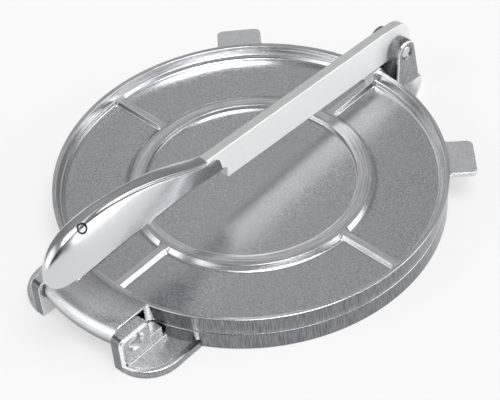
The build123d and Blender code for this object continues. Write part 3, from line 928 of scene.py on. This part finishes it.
def add(tree, kind, *values, output=0, **named):
    """Adds a node and returns one of its outputs. Plain values fill its inputs in order, a name
    in small letters is a setting, and any other name is an input, with _ for a space. A value
    that is an output of another node is linked."""
    node = tree.nodes.new("ShaderNode" + kind)
    for name in [name for name in named if name.islower()]:
        setattr(node, name, named.pop(name))
    sockets = [socket for socket in node.inputs if socket.enabled]
    by_name = {socket.name.replace(" ", "_"): socket for socket in reversed(sockets)}
    for socket, value in [*zip(sockets, values), *((by_name[name], named[name]) for name in named)]:
        if isinstance(value, bpy.types.NodeSocket):
            tree.links.new(value, socket)
        else:
            socket.default_value = value
    return [socket for socket in node.outputs if socket.enabled][output]


def plain_material(name, colour, roughness, metallic=1.0):
    """Plain material to be refined: returns it with its tree and its shader's inputs."""
    material = bpy.data.materials.new(name)
    material.use_nodes = True
    tree = material.node_tree
    inputs = tree.nodes["Principled BSDF"].inputs
    inputs["Metallic"].default_value = metallic
    inputs["Base Color"].default_value = linear(colour)
    inputs["Roughness"].default_value = roughness
    return material, tree, inputs


print("white is", linear("#ffffff"))

# %% [markdown]
# All patterns are measured in millimetres. Object coordinates are metres, so they are multiplied
# by a thousand. A noise becomes scratches when its coordinate is stretched along one direction,
# and circular scratches when that direction is the way round the plate.

# %% Patterns in millimetres
ARC_RADIUS = 100.0


def millimetres(tree, stretch=(1.0, 1.0, 1.0)):
    """Object coordinates in millimetres. stretch multiplies each axis: a small factor draws a
    pattern out along that axis into streaks."""
    place = add(tree, "TexCoord", output=3)
    return add(tree, "VectorMath", place, [1000.0 * factor for factor in stretch], operation="MULTIPLY")


def around_the_plate(tree, across, along):
    """Vector whose parts are the distance from the plate's middle and the arc length round it,
    each in millimetres times a factor, so that a noise over it becomes circular scratches."""
    place = add(tree, "VectorMath", millimetres(tree), (0.0, PLATE_Y, 0.0), operation="SUBTRACT")
    x, y, z = (add(tree, "SeparateXYZ", place, output=part) for part in range(3))
    flat = add(tree, "CombineXYZ", x, y)
    radius = add(tree, "VectorMath", flat, operation="LENGTH", output=0)
    angle = add(tree, "Math", y, x, operation="ARCTAN2")
    radius = add(tree, "Math", radius, across, operation="MULTIPLY")
    arc_length = add(tree, "Math", angle, ARC_RADIUS * along, operation="MULTIPLY")
    height = add(tree, "Math", z, across, operation="MULTIPLY")
    return add(tree, "CombineXYZ", radius, arc_length, height)


# %% [markdown]
# The lid and the base are sand castings in aluminium, a grey-white and slightly cool metal. The
# mould leaves a dull skin with a grain of about half a millimetre, the size of the sand, and
# faint clouds of some 20 mm where it cooled unevenly. The rim, the ring and the spokes were then
# ground, which leaves them brighter, with scratches that run round the plate, drawn about a
# millimetre wide because real ones are too fine to show. The outer wall is painted darker as
# shade, and its scratches run up and down.

# %% Cast plates
CAST_DARK, CAST_LIGHT = linear("#a8a9ae"), linear("#f0f1f3")
GROUND_DARK, GROUND_LIGHT = linear("#d4d5d8"), linear("#fcfcfd")
# The outer wall's two tones, darker than the cast skin: painted shade.
SHADED_WALL_DARK, SHADED_WALL_PALE = linear("#5f6064"), linear("#999a9e")
GRAIN_PER_MM, CLOUDS_PER_MM = 1.6, 0.045
ROUND_SCRATCHES, SPOKE_SCRATCHES, WALL_SCRATCHES = (1.1, 0.03), (0.05, 1.6), (0.12, 1.6)
PLATE_RELIEF = 0.00008


def sand_cast(name):
    """Cast skin of grain and clouds. It gives way to a scratched, brighter one where the
    attribute named ground is 1, and on the outer wall, where side is 1, to one painted darker as shade."""
    material, tree, inputs = plain_material(name, "#f0f1f3", 0.4)
    ground, side, spoke = (
        add(tree, "Attribute", attribute_name=key, output=2) for key in ("ground", "side", "spoke")
    )
    place = millimetres(tree)
    grain = add(tree, "TexNoise", place, Scale=GRAIN_PER_MM, Detail=4.0, Roughness=0.72)
    clouds = add(tree, "TexNoise", place, Scale=CLOUDS_PER_MM, Detail=2.0, Roughness=0.5)
    courses = (around_the_plate(tree, *ROUND_SCRATCHES), around_the_plate(tree, *SPOKE_SCRATCHES))
    course = add(tree, "Mix", spoke, *courses, data_type="VECTOR")
    rings = add(tree, "TexNoise", course, Scale=1.0, Detail=4.0, Roughness=0.7)
    course = around_the_plate(tree, *WALL_SCRATCHES)
    strokes = add(tree, "TexNoise", course, Scale=1.0, Detail=4.0, Roughness=0.7)
    share = add(tree, "MapRange", grain, 0.36, 0.66)
    cast = add(tree, "Mix", share, CAST_DARK, CAST_LIGHT, data_type="RGBA")
    share = add(tree, "MapRange", clouds, 0.35, 0.7, 0.0, 0.6)
    cast = add(tree, "Mix", share, cast, GROUND_DARK, data_type="RGBA")
    share = add(tree, "MapRange", rings, 0.36, 0.64)
    bright = add(tree, "Mix", share, GROUND_DARK, GROUND_LIGHT, data_type="RGBA")
    colour = add(tree, "Mix", ground, cast, bright, data_type="RGBA")
    # The outer wall: up-and-down scratches over a darker tone that is painted shade.
    share = add(tree, "MapRange", strokes, 0.32, 0.68)
    wall = add(tree, "Mix", share, SHADED_WALL_DARK, SHADED_WALL_PALE, data_type="RGBA")
    colour = add(tree, "Mix", side, colour, wall, data_type="RGBA")
    tree.links.new(colour, inputs["Base Color"])
    cast_dull = add(tree, "MapRange", grain, 0.3, 0.7, 0.15, 0.27)
    ground_dull = add(tree, "MapRange", rings, 0.3, 0.7, 0.14, 0.28)
    tree.links.new(add(tree, "Mix", ground, cast_dull, ground_dull), inputs["Roughness"])
    patchy = add(tree, "MapRange", clouds, 0.4, 0.62, 0.25, 1.0)
    pits = add(tree, "Math", grain, patchy, operation="MULTIPLY")
    height = add(tree, "Mix", side, add(tree, "Mix", ground, pits, rings), strokes)
    relief = add(tree, "Bump", Strength=0.6, Distance=PLATE_RELIEF, Height=height)
    tree.links.new(relief, inputs["Normal"])
    return material


cast_plate = sand_cast("sand_cast_aluminium")
print("cast plate:", len(cast_plate.node_tree.nodes), "nodes")

# %% [markdown]
# Lugs, tabs and the tongue were dressed on a belt: short straight scratches on bright metal. The
# fork and the feet's rims kept more of the mould's dull skin, whose darker tone is also painted
# shade. On both, edges that hands and the table rub are painted bright, partly as wear and partly
# as painted highlight, and the tongue's underside and the hinge lugs' front sides are painted dark
# as shade. The bar of the lever was ground lengthwise until its flat faces look almost white, so
# they count as less metallic there.
# The scratches are drawn some 0.6 mm apart, because a real belt's are too fine to show.

# %% Belt-ground castings
# The bright colour is wear and painted highlight on edges; the dark one is painted shade.
WEAR_HIGHLIGHT_AND_SHADE = (("wear_and_highlight", linear("#fbfbfc")), ("painted_shade", linear("#77787c")))
ACROSS, UPRIGHT, LENGTHWISE = (0.12, 1.6, 1.6), (1.0, 1.0, 0.2), (1.6, 0.12, 1.6)
BELT_RELIEF = 0.000012


def belt_ground(name, dark, light, along, roughness, metallic=1.0, places=()):
    """Metal whose scratches are drawn out along one direction over an even grain. places are
    pairs of an attribute and the colour that the metal turns to where the attribute is 1."""
    material, tree, inputs = plain_material(name, light, roughness, metallic)
    lines = add(tree, "TexNoise", millimetres(tree, along), Scale=1.0, Detail=5.0, Roughness=0.7)
    grain = add(tree, "TexNoise", millimetres(tree), Scale=1.4, Detail=3.0, Roughness=0.6)
    both = add(tree, "Mix", 0.65, grain, lines)
    share = add(tree, "MapRange", both, 0.3, 0.7)
    colour = add(tree, "Mix", share, linear(dark), linear(light), data_type="RGBA")
    for key, other in places:
        share = add(tree, "Attribute", attribute_name=key, output=2)
        colour = add(tree, "Mix", share, colour, other, data_type="RGBA")
    tree.links.new(colour, inputs["Base Color"])
    dull = add(tree, "MapRange", both, 0.3, 0.7, roughness - 0.06, roughness + 0.1)
    tree.links.new(dull, inputs["Roughness"])
    relief = add(tree, "Bump", Strength=0.4, Distance=BELT_RELIEF, Height=lines)
    tree.links.new(relief, inputs["Normal"])
    return material


ground_casting = belt_ground(
    "belt_ground_aluminium", "#cbccd0", "#f4f4f6", ACROSS, 0.26, metallic=0.78, places=WEAR_HIGHLIGHT_AND_SHADE
)
# The mould's dull skin on the fork and the feet's rims, made darker with painted shade.
dull_shaded_casting = belt_ground(
    "as_cast_aluminium_with_worn_edges", "#6f7074", "#b4b5b9", UPRIGHT, 0.26, places=WEAR_HIGHLIGHT_AND_SHADE
)
ground_bar = belt_ground("lengthwise_ground_aluminium", "#eff0f1", "#fbfbfb", LENGTHWISE, 0.5)
tree = ground_bar.node_tree
narrow = add(tree, "Attribute", attribute_name="rim", output=2)
metallic = add(tree, "MapRange", narrow, 0.0, 1.0, 0.2, 0.95)
tree.links.new(metallic, tree.nodes["Principled BSDF"].inputs["Metallic"])
print("belt-ground materials:", ground_casting.name, dull_shaded_casting.name, ground_bar.name)

# %% [markdown]
# The grip was polished on a soft wheel, which leaves it almost a mirror, with faint waves some
# 17 mm long where the wheel pressed harder, and a haze of strokes half a millimetre wide, coarser
# than real ones so that they show. A small round dimple from the mould is on its cheek: the
# distance from its middle makes the ring and the sunk disc, both darkened with painted shade.

# %% Polished grip
DIMPLE = (0.0037, (PLATE_Y - 112.6) * MILLIMETRE, 0.0712)
DIMPLE_RING, RING_HALF_WIDTH = 0.0023, 0.0005
# The dimple's floor and the ring at its edge are painted darker, as shade in the hollow.
GRIP_METAL, DIMPLE_FLOOR_SHADE, DIMPLE_EDGE_SHADE = "#d6d7da", linear("#a2a3a7"), linear("#5e5f63")
polished, tree, inputs = plain_material("wheel_polished_aluminium", GRIP_METAL, 0.1)
haze = add(tree, "TexNoise", millimetres(tree, (2.0, 0.3, 2.0)), Scale=1.0, Detail=4.0, Roughness=0.7)
tree.links.new(add(tree, "MapRange", haze, 0.3, 0.7, 0.17, 0.27), inputs["Roughness"])
place = add(tree, "TexCoord", output=3)
away = add(tree, "VectorMath", place, DIMPLE, operation="DISTANCE", output=0)
# Painted shade: the sunk disc darker, and darker still in a ring at its edge.
disc = add(tree, "MapRange", away, 0.0030, 0.0024)
mix = add(tree, "Mix", disc, linear(GRIP_METAL), DIMPLE_FLOOR_SHADE, data_type="RGBA")
ring = add(tree, "Math", away, DIMPLE_RING, RING_HALF_WIDTH, operation="COMPARE")
mix = add(tree, "Mix", ring, mix, DIMPLE_EDGE_SHADE, data_type="RGBA")
tree.links.new(mix, inputs["Base Color"])
waves = add(tree, "TexNoise", millimetres(tree), Scale=0.06, Detail=2.0, Roughness=0.5)
soft = add(tree, "Bump", Strength=0.25, Distance=0.0008, Height=waves)
sunk = add(tree, "MapRange", away, 0.0018, 0.0027, 0.0, 1.0)
relief = add(tree, "Bump", Strength=1.0, Distance=0.0004, Height=sunk, Normal=soft)
tree.links.new(relief, inputs["Normal"])
print("polished grip:", len(tree.nodes), "nodes")

# %% [markdown]
# The pins are plain steel, a little greyer than the aluminium, with the uneven gloss that a
# turning tool leaves.

# %% Steel pins
steel, tree, inputs = plain_material("turned_steel", "#d4d4d6", 0.22)
turning = add(tree, "TexNoise", millimetres(tree), Scale=1.5, Detail=4.0)
tree.links.new(add(tree, "MapRange", turning, 0.3, 0.7, 0.16, 0.32), inputs["Roughness"])
print("materials:", len(bpy.data.materials))

# %% [markdown]
# Each piece gets its material and the body that it moves with. A weighted normal keeps flat
# faces flat next to small rounded edges. The CAD nodes that the pieces stand for are then hidden.

# %% Dress the pieces
dull_shaded_pieces = [*foot_rims, *fork]
ground_pieces = [piece for piece in base_pieces[1:] if piece not in dull_shaded_pieces]
for pieces, body, slot, material in (
    ([base_disc], "base", "cast_base", cast_plate),
    (ground_pieces, "base", "cast_base", ground_casting),
    (dull_shaded_pieces, "base", "cast_base", dull_shaded_casting),
    ([lid_plate], "lid", "cast_lid", cast_plate),
    (lid_pieces[1:], "lid", "cast_lid", ground_casting),
    ([bar], "lever", "polished_lever", ground_bar),
    ([grip], "lever", "polished_lever", polished),
    ([hinge_pin, lever_pin], "base", "steel_pin", steel),
):
    for piece in pieces:
        weighted = piece.modifiers.new("even_light", "WEIGHTED_NORMAL")
        weighted.keep_sharp = True
        piece.data.materials.append(material)
        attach(piece, body)
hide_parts("base_plate")
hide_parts("lid")
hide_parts("lever")
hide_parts("hinge_pin")
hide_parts("lever_pin")

# %% [markdown]
# The press lies on a wide sheet of matt white paper. To the camera, and in what the metal mirrors,
# the paper also glows a little, which makes a white background without more light on the press.
# The rest of it stays a real surface that takes the press's shadow.

# %% Floor
FLOOR_HALF = 6.0
GLOW = 0.6
CAMERA_RAY, GLOSSY_RAY, TRANSMISSION_RAY = 0, 3, 6
floor_corners = [(FLOOR_HALF * x, FLOOR_HALF * y, 0) for x, y in ((-1, -1), (1, -1), (1, 1), (-1, 1))]
mesh = bpy.data.meshes.new("studio_floor")
mesh.from_pydata(floor_corners, [], [(0, 1, 2, 3)])
floor = bpy.data.objects.new("studio_floor", mesh)
bpy.context.scene.collection.objects.link(floor)
paper, tree, inputs = plain_material("matt_white_paper", "#f4f4f4", 0.9, metallic=0.0)
inputs["Specular IOR Level"].default_value = 0.1
seen = add(tree, "LightPath", output=CAMERA_RAY)
for kind in (GLOSSY_RAY, TRANSMISSION_RAY):
    seen = add(tree, "Math", seen, add(tree, "LightPath", output=kind), operation="MAXIMUM")
share = add(tree, "Math", seen, GLOW, operation="MULTIPLY")
white = add(tree, "Emission", (1.0, 1.0, 1.0, 1.0), 1.0)
seen_paper = add(tree, "MixShader", share, tree.nodes["Principled BSDF"].outputs["BSDF"], white)
tree.links.new(seen_paper, tree.nodes["Material Output"].inputs["Surface"])
floor.data.materials.append(paper)
print("floor:", 2 * FLOOR_HALF, "m wide")

# %% [markdown]
# Polished metal shows what stands round it more than its own colour, so the light is a room of
# soft boxes, drawn in the world as round patches of light on a dim, even sky. A negative patch is
# a dark card: it takes light away and gives the metal the dark bands that make it look polished.

# %% World of soft boxes
AMBIENT, DARKEST = 0.26, 0.04
SOFT_BOXES = (
    # each row: direction, cosine at its edge, cosine at its core, strength
    # wide and faint, behind on the left
    ((-0.514, 0.491, 0.703), 0.80, 0.97, 0.10),
    # the brightest, nearly overhead
    ((0.35, -0.1, 0.93), 0.93, 0.98, 6.5),
    # low, behind on the right
    ((0.80, 0.49, 0.16), 0.86, 0.96, 2.7),
    # dark card above the last
    ((0.60, 0.49, 0.63), 0.93, 0.985, -0.5),
    # two small ones inside the first
    ((-0.558, 0.505, 0.660), 0.990, 0.9985, 0.12),
    ((-0.490, 0.468, 0.735), 0.992, 0.9988, 0.10),
    # high behind
    ((0.25, 0.47, 0.85), 0.94, 0.99, 0.5),
    # low in front on the left
    ((-0.30, -0.85, 0.30), 0.80, 0.95, 1.3),
    # dark card, low in front on the right
    ((0.63, -0.65, 0.25), 0.85, 0.95, -0.4),
)
world = bpy.data.worlds.new("studio")
bpy.context.scene.world = world
world.use_nodes = True
tree = world.node_tree
direction = add(tree, "TexCoord", output=0)
light = AMBIENT
for aim, edge, core, strength in SOFT_BOXES:
    aim = (np.array(aim) / np.linalg.norm(aim)).tolist()
    near = add(tree, "VectorMath", direction, aim, operation="DOT_PRODUCT", output=0)
    patch = add(tree, "MapRange", near, edge, core, 0.0, strength, interpolation_type="SMOOTHSTEP")
    light = add(tree, "Math", light, patch, operation="ADD")
light = add(tree, "Math", light, DARKEST, operation="MAXIMUM")
sky = tree.nodes["Background"].inputs
tree.links.new(light, sky["Strength"])
sky["Color"].default_value = (1, 1, 1, 1)
print("soft boxes:", len(SOFT_BOXES))

# %% [markdown]
# The photo was taken from the front right and well above, with a long lens held a few degrees off
# level. The camera's three axes are worked out from these angles and put into its matrix.

# %% Camera
AZIMUTH, ELEVATION, ROLL = np.radians([46.31, 44.65, -5.29])
CAMERA_PLACE = (0.4389, -0.4150, 0.5997)
LENS, SENSOR = 117.648, 36.0
SHIFT = (-0.00508, -0.00038)
right = np.array([np.cos(AZIMUTH), np.sin(AZIMUTH), 0.0])
level = np.array([-np.sin(AZIMUTH), np.cos(AZIMUTH), 0.0])
forward = level * np.cos(ELEVATION) - np.array([0.0, 0.0, np.sin(ELEVATION)])
up = np.cross(right, forward)
right_rolled = right * np.cos(ROLL) + up * np.sin(ROLL)
up_rolled = up * np.cos(ROLL) - right * np.sin(ROLL)
view = bpy.data.cameras.new("camera")
view.sensor_fit = "HORIZONTAL"
view.sensor_width = SENSOR
view.lens = LENS
view.shift_x, view.shift_y = SHIFT
view.clip_start = 0.01
camera = bpy.data.objects.new("camera", view)
pose = np.eye(4)
pose[:3, :3] = np.column_stack([right_rolled, up_rolled, -forward])
pose[:3, 3] = CAMERA_PLACE
camera.matrix_world = Matrix(pose.tolist())
bpy.context.scene.collection.objects.link(camera)
bpy.context.scene.camera = camera
bpy.context.scene.view_settings.view_transform = "Standard"
print("camera looks along", forward.round(3).tolist())
